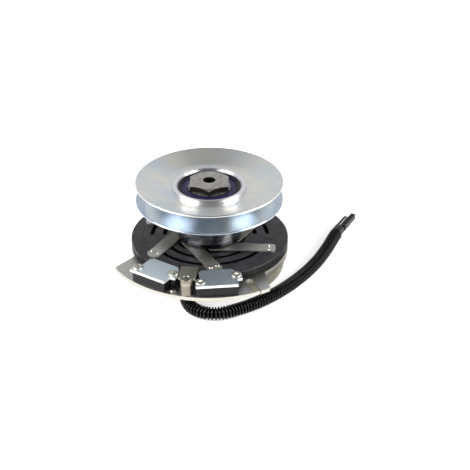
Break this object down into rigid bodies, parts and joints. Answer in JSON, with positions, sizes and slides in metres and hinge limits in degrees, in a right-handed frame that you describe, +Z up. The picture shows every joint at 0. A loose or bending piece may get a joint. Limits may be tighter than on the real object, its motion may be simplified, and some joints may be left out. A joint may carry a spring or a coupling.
{
  "type": "electromagnetic clutch",
  "caption": "Stationary-field electromagnetic clutch with a V-belt pulley, spring-hung armature, permanent-magnet brake, bracket and a two-wire lead in split loom.",
  "frame": {"origin": "centre of the crankshaft bore at the bottom face, on which the clutch stands", "axes": "+Z up the shaft towards the pulley and the hexagonal nose, -Y towards the brake, +X towards the connector"},
  "size_m": [0.2266, 0.1829, 0.0886],
  "materials": {
    "field_steel": "satin nickel-zinc plate on drawn steel",
    "bracket_steel": "plated pressed steel with a bright sheared edge",
    "zinc_plate": "bright clear zinc on spun steel",
    "brake_zinc": "blue-white zinc on stamped steel",
    "polished_steel": "ground and polished",
    "machined_steel": "turned and milled",
    "black_steel": "black phosphate",
    "spring_steel": "rolled strip",
    "rivet_steel": "bright headed",
    "stop_steel": "dull plated",
    "race_steel": "ground bearing steel",
    "ball_steel": "polished bearing balls",
    "violet_rubber": "moulded nitrile seal",
    "black_rubber": "moulded",
    "ferrite": "sintered ferrite in a moulded holder",
    "copper": "enamelled copper wire",
    "bobbin_nylon": "moulded",
    "epoxy": "cast",
    "lead_insulation": "extruded",
    "loom_plastic": "corrugated polyethylene",
    "connector_nylon": "moulded",
    "terminal_brass": "stamped",
    "friction": "pressed friction material"
  },
  "bodies": {
    "field": {"field_shell": "field_steel", "field_bracket": "bracket_steel", "coil_bobbin": "bobbin_nylon", "coil_winding": "copper", "coil_potting": "epoxy", "coil_leads": "lead_insulation", "field_bearing_outer": "race_steel", "field_bearing_balls": "ball_steel", "field_bearing_seals": "black_rubber", "wire_grommet": "black_rubber", "loom": "loom_plastic", "connector_housing": "connector_nylon", "connector_terminals": "terminal_brass", "brake_magnet_left": "ferrite", "brake_magnet_right": "ferrite", "brake_plate_left": "brake_zinc", "brake_plate_right": "brake_zinc", "brake_screws": "rivet_steel", "stop_post": "stop_steel", "post_bolt": "stop_steel", "stop_tab": "stop_steel", "bracket_rivet": "rivet_steel"},
    "rotor": {"arbor": "machined_steel", "rotor": "black_steel", "friction_ring": "friction", "field_bearing_inner": "race_steel", "rotor_snap_ring": "spring_steel", "bearing_spacer": "machined_steel", "pulley_bearing_inner": "race_steel"},
    "pulley": {"pulley_hub": "polished_steel", "upper_flange": "zinc_plate", "lower_flange": "zinc_plate", "pulley_bearing_outer": "race_steel", "pulley_bearing_balls": "ball_steel", "upper_seal": "violet_rubber", "lower_seal": "violet_rubber", "hub_rivets": "rivet_steel", "leaf_spring_1": "spring_steel", "leaf_spring_2": "spring_steel", "leaf_spring_3": "spring_steel", "leaf_spring_4": "spring_steel", "leaf_spring_5": "spring_steel", "leaf_spring_6": "spring_steel"},
    "armature": {"armature": "black_steel", "armature_rivets": "rivet_steel"}
  },
  "joints": [
    {"name": "rotor_spin", "type": "hinge", "parent": "field", "child": "rotor", "pos_m": [0, 0, 0], "axis": [0, 0, 1], "continuous": true},
    {"name": "pulley_spin", "type": "hinge", "parent": "rotor", "child": "pulley", "pos_m": [0, 0, 0.0786], "axis": [0, 0, 1], "continuous": true},
    {"name": "armature_travel", "type": "slide", "parent": "pulley", "child": "armature", "axis": [0, 0, -1], "range_m": [0, 0.0005], "stiffness_N_per_m": 20000, "springref_m": -0.0005, "deforming": ["leaf_spring_1", "leaf_spring_2", "leaf_spring_3", "leaf_spring_4", "leaf_spring_5", "leaf_spring_6"]}
  ]
}
